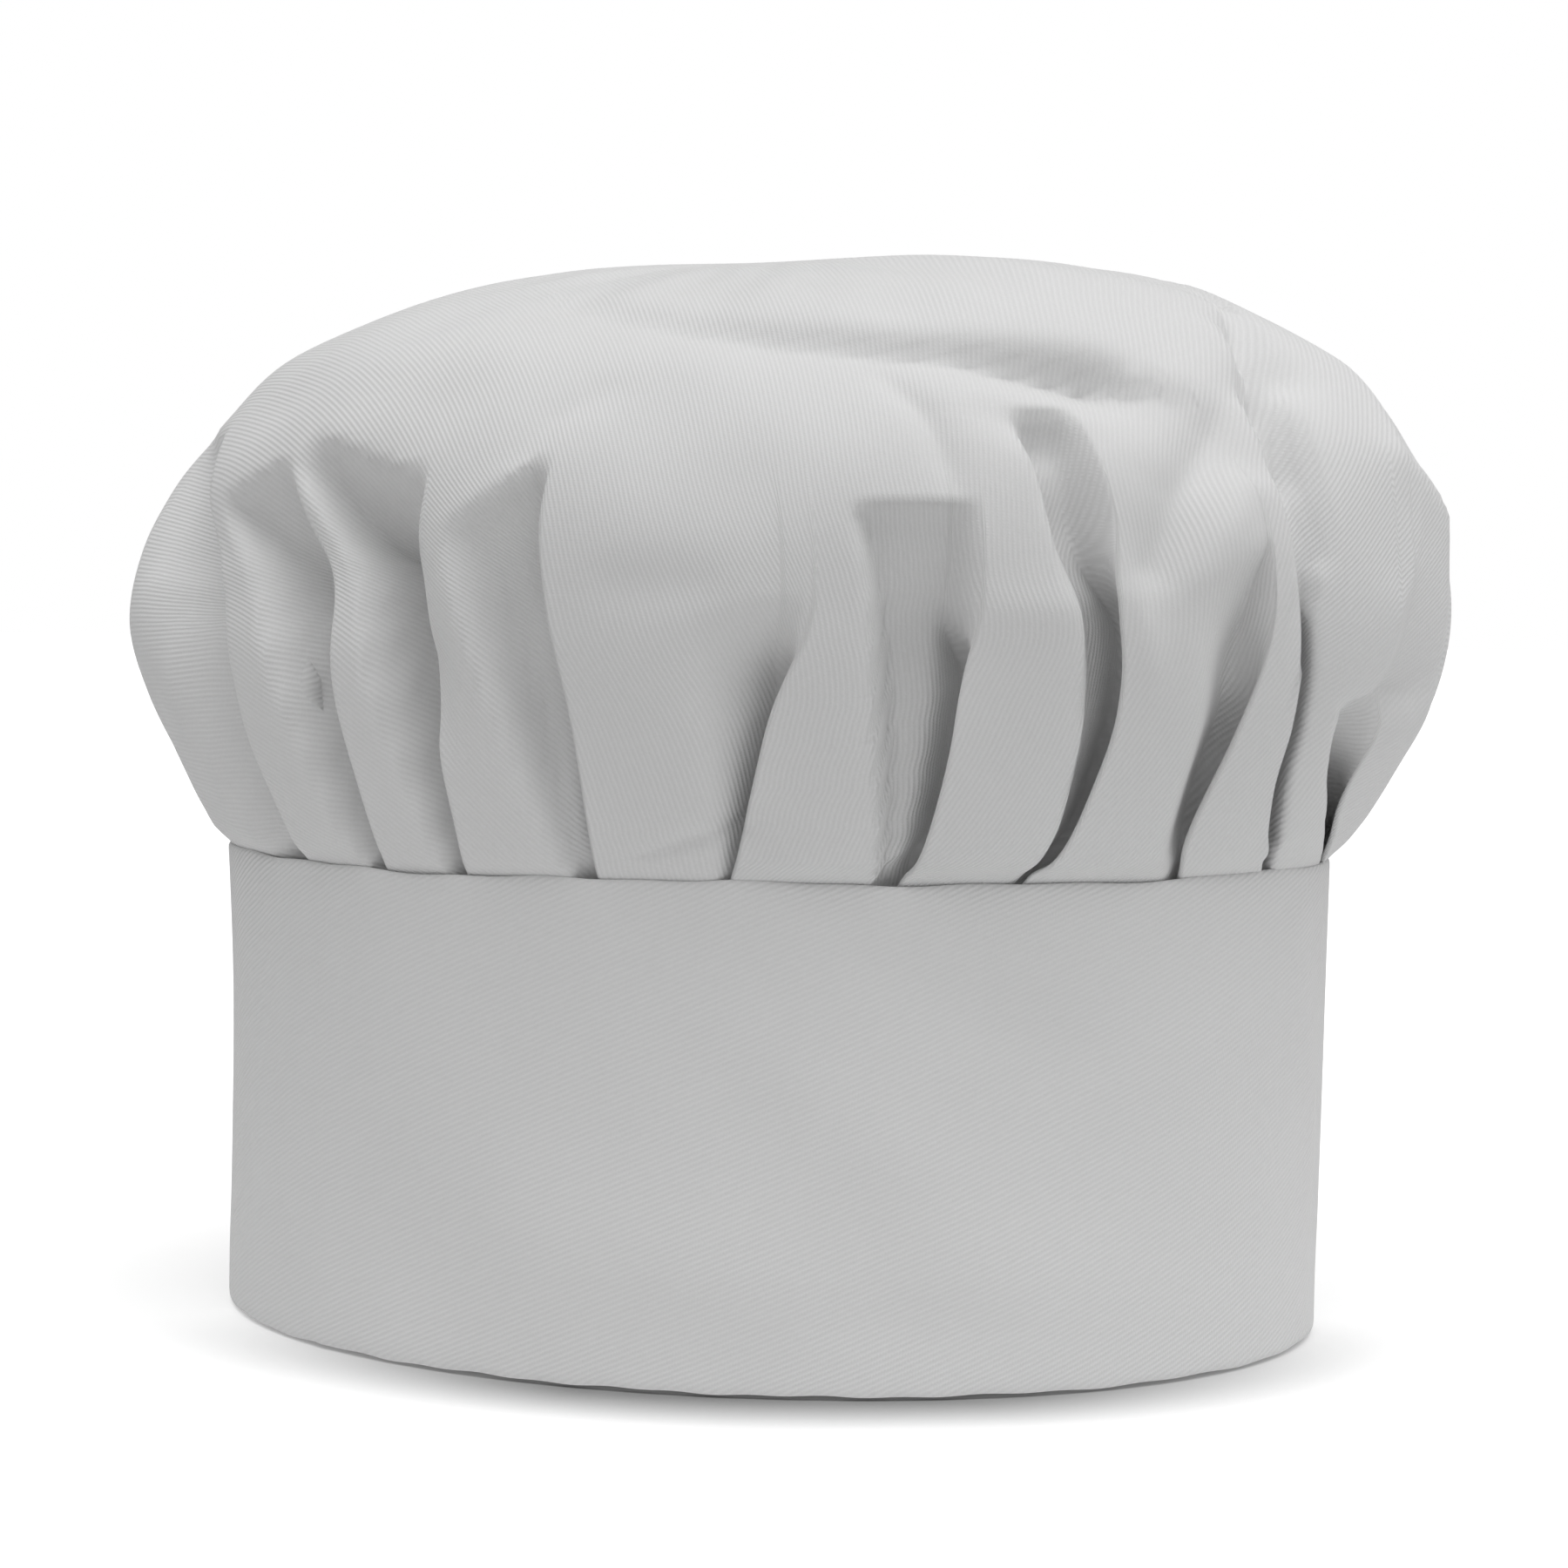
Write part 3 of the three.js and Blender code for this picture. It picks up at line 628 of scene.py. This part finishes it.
def crown_grid():
    """Points of the crown's cloth, a row for each level, and their places on the flat disc that it
    was cut from. The first rows are the hem, straight down behind the band."""
    level, azimuth, depth, counts = crown_sections()
    up = level[:, None] + 0 * azimuth
    spread = ease(up, *CREASE_RISE)
    depth = depth + crease_depth(azimuth, up) * spread
    waves = wave_sum(CROWN_WAVES, azimuth, 2 * np.pi * up)
    depth = depth + waves * spread * (1 - ease(up, *WAVES_END))
    depth = depth - (band_swell(azimuth, 1.0) - HEM_INSET) * (1 - ease(up, *SEAM_FOLLOWS))
    points = smooth_crown(azimuth, up) - outward(azimuth, up) * depth[..., None]
    reach = cloth_reach(level)[:, None]
    turn = np.radians(flat_azimuths(level, azimuth, points, counts))
    flat = np.stack([reach * np.sin(turn), -reach * np.cos(turn)], -1)
    below = np.array([HEM, 0.5 * HEM])[:, None, None]
    hem = points[:1] - np.array([0, 0, 1.0]) * below
    return np.concatenate([hem, points]), np.concatenate([flat[:1] * (1 + below / reach[0]), flat])


def band_oval(azimuth, height):
    """Distance of the band's outer face from the hat's axis at an azimuth and a level."""
    across = np.sin(np.radians(azimuth))
    along = np.cos(np.radians(azimuth))
    left, right, front, back = np.moveaxis(table_curve(BAND_SECTIONS, height), -1, 0)
    side = np.where(across < 0, left, right)
    deep = np.where(along > 0, front, back)
    return 1 / np.hypot(across / side, along / deep)


def band_swell(azimuth, height):
    """How far the band's cloth stands out: slow waves and soft folds, dying out at the rim that it
    stands on, and one pressed line that leans a little."""
    swell = wave_sum(BAND_WAVES, azimuth, height)
    turned = (azimuth - BAND_BACK) % 360 + BAND_BACK
    for az0, low, az1, high, depth, width in BAND_FOLDS:
        x = (turned - az0) * BAND_DEGREE
        y = (height - low) * BAND_HEIGHT
        away = nearest_on_stroke(x, y, (az1 - az0) * BAND_DEGREE, (high - low) * BAND_HEIGHT)[1]
        swell = swell + depth * np.exp(-(away / width) ** 2)
    from_line = (turned - mix(PRESSED_LOW, PRESSED_HIGH, height)) / PRESSED_WIDTH
    return swell * ease(height, *SWELL_RISE) + PRESSED_HEIGHT * np.exp(-from_line ** 2)


def band_lift(azimuth, height):
    """How far the sewn edges stray from level: a little at the rim, more at the seam."""
    rim = RIM_RAISED + wave_sum(RIM_WAVES, azimuth, 0.0)
    seam = wave_sum(SEAM_WAVES, azimuth, 0.0)
    return rim * (1 - ease(height, *RIM_END)) + seam * ease(height, *SEAM_START)


def band_profile():
    """The folded strip's path: down the inner layer, round the fold at the rim, up the outer layer,
    over the top edge and down the part turned in. The two curves are half ellipses. Gives the
    inset from the outer face, the height and the length along the path."""
    curve = np.linspace(0, np.pi, CURVE_ROWS)
    fold, edge = curve[1:-1], curve[1:]
    outer = np.linspace(FOLD_START, BAND_HEIGHT - EDGE_START, OUTER_ROWS)
    stretches = (
        (INNER_INSET, np.linspace(BAND_HEIGHT - INNER_END, FOLD_START, INNER_ROWS)),
        (0.5 * INNER_INSET * (1 + np.cos(fold)), 0.5 * BAND_CLOTH + FOLD_DROP * (1 - np.sin(fold))),
        (0.0, np.concatenate([outer, BAND_HEIGHT - EDGE_STEPS])),
        (0.5 * EDGE_ROUND * (1 - np.cos(edge)), BAND_HEIGHT - EDGE_RISE * (1 - np.sin(edge))),
        (EDGE_ROUND, np.linspace(BAND_HEIGHT - TURNED_START, BAND_HEIGHT - TURNED_END, TURNED_ROWS)),
    )
    inset = np.concatenate([inset + 0 * height for inset, height in stretches])
    height = np.concatenate([height for inset, height in stretches])
    length = np.concatenate([[0], np.cumsum(np.hypot(np.diff(inset), np.diff(height)))])
    return inset[:, None], height[:, None], length[:, None]


def band_grid():
    """Points of the band's strip, a row for each place along its path, and their places on the
    flat strip."""
    inset, height, length = band_profile()
    azimuth = np.linspace(-180, 180, BAND_COLUMNS, endpoint=False)[None, :]
    level = np.clip(height / BAND_HEIGHT, 0, 1)
    radius = band_oval(azimuth, level + 0 * azimuth) + band_swell(azimuth, level) - inset
    x = radius * np.sin(np.radians(azimuth))
    y = -radius * np.cos(np.radians(azimuth))
    points = np.stack([x, y, height + band_lift(azimuth, level)], -1)
    row = points[MEASURED_ROW]
    around = np.linalg.norm(np.diff(row, axis=0, append=row[:1]), axis=-1)
    run = np.concatenate([[0], np.cumsum(around)[:-1]])
    return points, np.stack([run[None, :] + 0 * radius, length + 0 * radius], -1)


def add_object(name, data):
    """A new object in the scene."""
    piece = bpy.data.objects.new(name, data)
    bpy.context.scene.collection.objects.link(piece)
    return piece


def grid_piece(name, points, flat, tip_height=None):
    """A piece from a grid that closes on itself across its columns, with a centre point over its
    last row where tip_height is given. Its UV map holds each point's place on the flat cloth, in
    metres."""
    rows, columns = points.shape[:2]
    vertices = points.reshape(-1, 3)
    places = flat.reshape(-1, 2)
    i, j = np.meshgrid(np.arange(rows - 1), np.arange(columns), indexing="ij")
    following = (j + 1) % columns
    quads = np.stack([i * columns + j, i * columns + following,
                      (i + 1) * columns + following, (i + 1) * columns + j], -1).reshape(-1, 4)
    faces = quads.tolist()
    if tip_height is not None:
        last = (rows - 1) * columns
        tip = len(vertices)
        vertices = np.concatenate([vertices, [[0.0, 0.0, tip_height]]])
        places = np.concatenate([places, np.zeros((1, 2))])
        faces += [(last + a, last + (a + 1) % columns, tip) for a in range(columns)]
    mesh = bpy.data.meshes.new(name)
    mesh.from_pydata((vertices * MM).tolist(), [], faces)
    corner = np.empty(len(mesh.loops), dtype=np.int32)
    mesh.loops.foreach_get("vertex_index", corner)
    layer = mesh.uv_layers.new(name="flat_cloth")
    layer.data.foreach_set("uv", (places[corner] * MM).astype(np.float32).ravel())
    mesh.polygons.foreach_set("use_smooth", np.ones(len(mesh.polygons), dtype=bool))
    mesh.update()
    return add_object(name, mesh)


def thicken(piece, thickness):
    """Give a sheet its thickness, inwards from its outer face."""
    wall = piece.modifiers.new("Solidify", "SOLIDIFY")
    wall.thickness = thickness * MM
    wall.offset = -1.0


class Value:
    """One shader socket, on which Python's arithmetic adds Math nodes."""

    def __init__(self, tree, socket):
        self.tree = tree
        self.socket = socket

    def maths(self, operation, *values, clamp=False):
        """A Math node on these values, each a socket or a number."""
        node = self.tree.nodes.new("ShaderNodeMath")
        node.operation = operation
        node.use_clamp = clamp
        for slot, value in zip(node.inputs, values):
            if isinstance(value, Value):
                self.tree.links.new(value.socket, slot)
            else:
                slot.default_value = value
        return Value(self.tree, node.outputs[0])

    def __add__(self, other):
        return self.maths("ADD", self, other)

    def __radd__(self, other):
        return self.maths("ADD", other, self)

    def __sub__(self, other):
        return self.maths("SUBTRACT", self, other)

    def __rsub__(self, other):
        return self.maths("SUBTRACT", other, self)

    def __mul__(self, other):
        return self.maths("MULTIPLY", self, other)

    def __rmul__(self, other):
        return self.maths("MULTIPLY", other, self)

    def sine(self):
        return self.maths("SINE", self)

    def power(self, exponent):
        return self.maths("POWER", self, exponent)

    def clamped(self):
        return self.maths("ADD", self, 0.0, clamp=True)


class Shader:
    """A node tree with a short way to add nodes."""

    def __init__(self, owner):
        owner.use_nodes = True
        self.tree = owner.node_tree

    def node(self, kind, settings=None, **sockets):
        """A node of this type, with its settings and then the values or links of its sockets."""
        node = self.tree.nodes.new(kind)
        for name, value in (settings or {}).items():
            setattr(node, name, value)
        for name, value in sockets.items():
            slot = node.inputs[name.replace("_", " ")]
            if isinstance(value, Value):
                self.tree.links.new(value.socket, slot)
            else:
                slot.default_value = value
        return node

    def out(self, node, name):
        return Value(self.tree, node.outputs[name])

    def noise(self, place, settings):
        return self.out(self.node("ShaderNodeTexNoise", Vector=place, **settings), "Fac")

    def parts(self, vector):
        """The X, Y and Z of a vector."""
        node = self.node("ShaderNodeSeparateXYZ", Vector=vector)
        return [self.out(node, name) for name in ("X", "Y", "Z")]

    def seen(self):
        """1 for what the camera sees and 0 for any other light."""
        return self.out(self.node("ShaderNodeLightPath"), "Is Camera Ray")


class SurfaceShader(Shader):
    """A material's node tree."""

    def __init__(self, name):
        self.material = bpy.data.materials.new(name)
        super().__init__(self.material)
        self.surface = self.tree.nodes["Principled BSDF"]

    def grey(self, value):
        """A grey colour from one value."""
        return self.out(self.node("ShaderNodeCombineColor", Red=value, Green=value, Blue=value),
                        "Color")

    def darkened(self, tone, shade):
        """The tone where the shade is 1, and black where it is 0."""
        mixed = self.node("ShaderNodeMix", {"data_type": "RGBA"})
        mixed.inputs[MIX_FIRST].default_value = (0.0, 0.0, 0.0, 1.0)
        mixed.inputs[MIX_SECOND].default_value = (*tone, 1.0)
        self.tree.links.new(shade.socket, mixed.inputs[MIX_FACTOR])
        return self.out(mixed, MIX_RESULT)

    def feed(self, name, value):
        """Link a value to one of the surface's sockets."""
        self.tree.links.new(value.socket, self.surface.inputs[name])

    def set(self, name, value):
        """Set one of the surface's sockets to a number."""
        self.surface.inputs[name].default_value = value


def twill_material(name, tone, rib_turn, rib_pitch):
    """White cotton twill. Ribs are ridges across the flat cloth, broken into stitches by a second,
    finer wave; slow and fine noise vary tone and roughness."""
    shader = SurfaceShader(name)
    flat = shader.out(shader.node("ShaderNodeUVMap", {"uv_map": "flat_cloth"}), "UV")
    x, y = shader.parts(flat)[:2]
    cos, sin = math.cos(rib_turn), math.sin(rib_turn)
    across = x * cos + y * sin
    along = y * cos - x * sin
    drift = shader.noise(flat, DRIFT)
    fibre = shader.noise(flat, FIBRE)
    cloud = shader.noise(flat, CLOUD)
    turn = 2 * math.pi / rib_pitch
    rib = (across * turn + drift * RIB_DRIFT).sine() * 0.5 + 0.5
    stitch = (along * (turn * STITCH_ALONG) + across * (turn * STITCH_ACROSS)).sine() * 0.5 + 0.5
    height = rib * RELIEF["rib"] + rib * stitch * RELIEF["stitch"] + fibre * RELIEF["fibre"]
    bump = shader.node("ShaderNodeBump", Strength=RELIEF["strength"], Distance=RELIEF["depth"],
                       Height=height)
    shader.feed("Normal", shader.out(bump, "Normal"))
    shade = SHADE["base"] + rib * SHADE["rib"] + (fibre - 0.5) * SHADE["fibre"]
    shade = shade + (cloud - 0.5) * SHADE["cloud"]
    shader.feed("Base Color", shader.darkened(tone, shade.clamped()))
    rough = ROUGH["base"] + (cloud - 0.5) * ROUGH["cloud"] + (fibre - 0.5) * ROUGH["fibre"]
    shader.feed("Roughness", rough)
    shader.set("Specular IOR Level", SPECULAR)
    shader.set("Sheen Weight", SHEEN)
    shader.set("Sheen Roughness", SHEEN_ROUGH)
    return shader.material


class CrownSettings(bpy.types.PropertyGroup):
    tone: bpy.props.FloatVectorProperty(
        name="Cloth", description="Colour of the crown's cloth", subtype="COLOR",
        size=3, min=0.0, max=1.0, default=(0.72, 0.72, 0.72))
    rib_azimuth: bpy.props.FloatProperty(
        name="Rib direction", description="Azimuth at which the twill's ribs run straight up",
        subtype="ANGLE", default=math.radians(27.0))
    rib_pitch: bpy.props.FloatProperty(
        name="Rib pitch", description="Distance between two ribs of the twill",
        unit="LENGTH", precision=5, default=0.00094)


class BandSettings(bpy.types.PropertyGroup):
    tone: bpy.props.FloatVectorProperty(
        name="Cloth", description="Colour of the band's cloth", subtype="COLOR",
        size=3, min=0.0, max=1.0, default=(0.72, 0.72, 0.72))
    rib_rise: bpy.props.FloatProperty(
        name="Rib rise", description="Angle at which the band's ribs rise to the right",
        subtype="ANGLE", default=math.radians(24.0))
    rib_pitch: bpy.props.FloatProperty(
        name="Rib pitch", description="Distance between two ribs of the twill",
        unit="LENGTH", precision=5, default=0.00093)


class StageSettings(bpy.types.PropertyGroup):
    view_azimuth: bpy.props.FloatProperty(
        name="View azimuth", description="How far round to the right of the front the camera stands",
        subtype="ANGLE", default=math.radians(18.0))
    distance: bpy.props.FloatProperty(
        name="Distance", description="Camera's distance from the hat's axis",
        unit="LENGTH", default=0.720)
    height: bpy.props.FloatProperty(
        name="Height", description="Camera's height over the floor", unit="LENGTH", default=0.143)
    side_step: bpy.props.FloatProperty(
        name="Side step", description="How far to the right the camera stands",
        unit="LENGTH", precision=4, default=0.003)
    pitch: bpy.props.FloatProperty(
        name="Pitch", description="How far the camera looks down",
        subtype="ANGLE", default=math.radians(3.34))
    roll: bpy.props.FloatProperty(
        name="Roll", description="How far the camera is turned about its line of sight",
        subtype="ANGLE", default=math.radians(0.3))
    lens: bpy.props.FloatProperty(
        name="Focal length", description="Focal length on a frame 36 mm wide",
        unit="CAMERA", default=86.0)


def contact_shade(shader, place):
    """How dark the painted contact shadow on the floor is, from 0 to 1: darker the nearer the hat is, on
    the camera's side.
    """
    towards = shader.node("ShaderNodeVectorMath", {"operation": "NORMALIZE"}, Vector=place)
    x, y = shader.parts(shader.out(towards, "Vector"))[:2]
    ahead = (x * CONTACT_SIDE[0] + y * CONTACT_SIDE[1] - CONTACT_START).clamped()
    nearness = shader.node("ShaderNodeAmbientOcclusion", {"samples": CONTACT_SAMPLES},
                           Distance=CONTACT_REACH)
    return (1.0 - shader.out(nearness, "AO").power(CONTACT_POWER)) * ahead


def add_floor():
    """A pale floor. To the camera it is nearly white, with a painted contact shadow in the narrow gap
    beside the rim; for the light it gives back, it is pale grey, with a bright round patch round the hat."""
    reach = FLOOR_REACH
    corners = [(-reach, -reach, 0), (reach, -reach, 0), (reach, reach, 0), (-reach, reach, 0)]
    mesh = bpy.data.meshes.new("floor")
    mesh.from_pydata(corners, [], [(0, 1, 2, 3)])
    shader = SurfaceShader("floor_paint")
    seen = shader.seen()
    place = shader.out(shader.node("ShaderNodeTexCoord"), "Object")
    away = shader.node("ShaderNodeVectorMath", {"operation": "LENGTH"}, Vector=place)
    patch = ((LIT_RADIUS - shader.out(away, "Value")) * (1 / LIT_FADE)).clamped()
    # Painted contact shadow: the colour and glow that the camera sees are darkened near the rim.
    unshadowed = 1.0 - contact_shade(shader, place)
    shader.feed("Base Color", shader.grey(FLOOR_GREY + seen * (unshadowed * FLOOR_SEEN - FLOOR_GREY)))
    glow = patch * (1.0 - seen) * LIT_GLOW + seen * unshadowed * FLOOR_SEEN_GLOW
    shader.feed("Emission Color", shader.grey(glow))
    shader.set("Emission Strength", 1.0)
    shader.set("Roughness", FLOOR_ROUGH)
    shader.set("Specular IOR Level", FLOOR_SPECULAR)
    mesh.materials.append(shader.material)
    add_object("floor", mesh)


def add_lights(context, heading):
    """A studio dome of soft lights, plain white to the camera."""
    world = bpy.data.worlds.new("studio")
    shader = Shader(world)
    x, y, z = shader.parts(shader.out(shader.node("ShaderNodeTexCoord"), "Generated"))
    cos, sin = math.cos(heading), math.sin(heading)
    glow = 0.0
    for (right, front, above), strength, sharpness in SOFT_LIGHTS:
        facing = x * (right * cos + front * sin) + y * (right * sin - front * cos) + z * above
        glow = glow + facing.clamped().power(sharpness) * strength
    strength = glow + shader.seen() * (1.0 - glow)
    background = shader.tree.nodes["Background"]
    background.inputs["Color"].default_value = (1.0, 1.0, 1.0, 1.0)
    shader.tree.links.new(strength.socket, background.inputs["Strength"])
    context.scene.world = world


def add_camera(context, settings):
    """The camera: it stands off the hat's axis, steps aside, looks down and rolls a little."""
    data = bpy.data.cameras.new("camera")
    data.sensor_width = 36.0
    data.lens = settings.lens
    camera = add_object("camera", data)
    heading = Matrix.Rotation(settings.view_azimuth, 4, "Z")
    place = heading @ Matrix.Translation((settings.side_step, -settings.distance, settings.height))
    tilt = Matrix.Rotation(math.pi / 2 - settings.pitch, 4, "X")
    camera.matrix_world = place @ tilt @ Matrix.Rotation(settings.roll, 4, "Z")
    context.scene.camera = camera


class HAT_OT_crown(bpy.types.Operator):
    """Make the pleated crown"""
    bl_idname = "hat.crown"
    bl_label = "Crown"

    def execute(self, context):
        settings = context.scene.hat_crown
        points, flat = crown_grid()
        crown = grid_piece("crown_cloth", points, flat, tip_height=CROWN_SECTIONS[-1, 3])
        thicken(crown, CROWN_CLOTH)
        crown.data.materials.append(twill_material(
            "crown_twill", settings.tone, settings.rib_azimuth, settings.rib_pitch))
        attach(crown, "root")
        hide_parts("crown")
        return {"FINISHED"}


class HAT_OT_band(bpy.types.Operator):
    """Make the folded band"""
    bl_idname = "hat.band"
    bl_label = "Band"

    def execute(self, context):
        settings = context.scene.hat_band
        points, flat = band_grid()
        band = grid_piece("band_cloth", points, flat)
        thicken(band, BAND_CLOTH)
        band.data.materials.append(twill_material(
            "band_twill", settings.tone, settings.rib_rise + math.pi / 2, settings.rib_pitch))
        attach(band, "root")
        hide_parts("band")
        return {"FINISHED"}


class HAT_OT_stage(bpy.types.Operator):
    """Make the floor, the lights and the camera"""
    bl_idname = "hat.stage"
    bl_label = "Studio"

    def execute(self, context):
        settings = context.scene.hat_stage
        add_floor()
        add_lights(context, settings.view_azimuth)
        add_camera(context, settings)
        return {"FINISHED"}


class HAT_PT_panel(bpy.types.Panel):
    """The hat's pieces in the sidebar"""
    bl_label = "Chef hat"
    bl_idname = "HAT_PT_panel"
    bl_space_type = "VIEW_3D"
    bl_region_type = "UI"
    bl_category = "Chef hat"

    def draw(self, context):
        for group, operator in (("hat_crown", "hat.crown"), ("hat_band", "hat.band"),
                                ("hat_stage", "hat.stage")):
            box = self.layout.box()
            settings = getattr(context.scene, group)
            for name in settings.bl_rna.properties.keys():
                if name not in ("rna_type", "name"):
                    box.prop(settings, name)
            box.operator(operator)


SETTINGS = {"hat_crown": CrownSettings, "hat_band": BandSettings, "hat_stage": StageSettings}
CLASSES = (CrownSettings, BandSettings, StageSettings, HAT_OT_crown, HAT_OT_band, HAT_OT_stage,
           HAT_PT_panel)


def register():
    for entry in CLASSES:
        bpy.utils.register_class(entry)
    for name, group in SETTINGS.items():
        setattr(bpy.types.Scene, name, bpy.props.PointerProperty(type=group))


def unregister():
    for name in SETTINGS:
        delattr(bpy.types.Scene, name)
    for entry in reversed(CLASSES):
        bpy.utils.unregister_class(entry)


def main():
    """Make the hat and its studio."""
    register()
    bpy.context.scene.view_settings.view_transform = "Standard"
    bpy.ops.hat.band()
    bpy.ops.hat.crown()
    bpy.ops.hat.stage()
    bpy.context.view_layer.update()


if __name__ == "__main__":
    main()
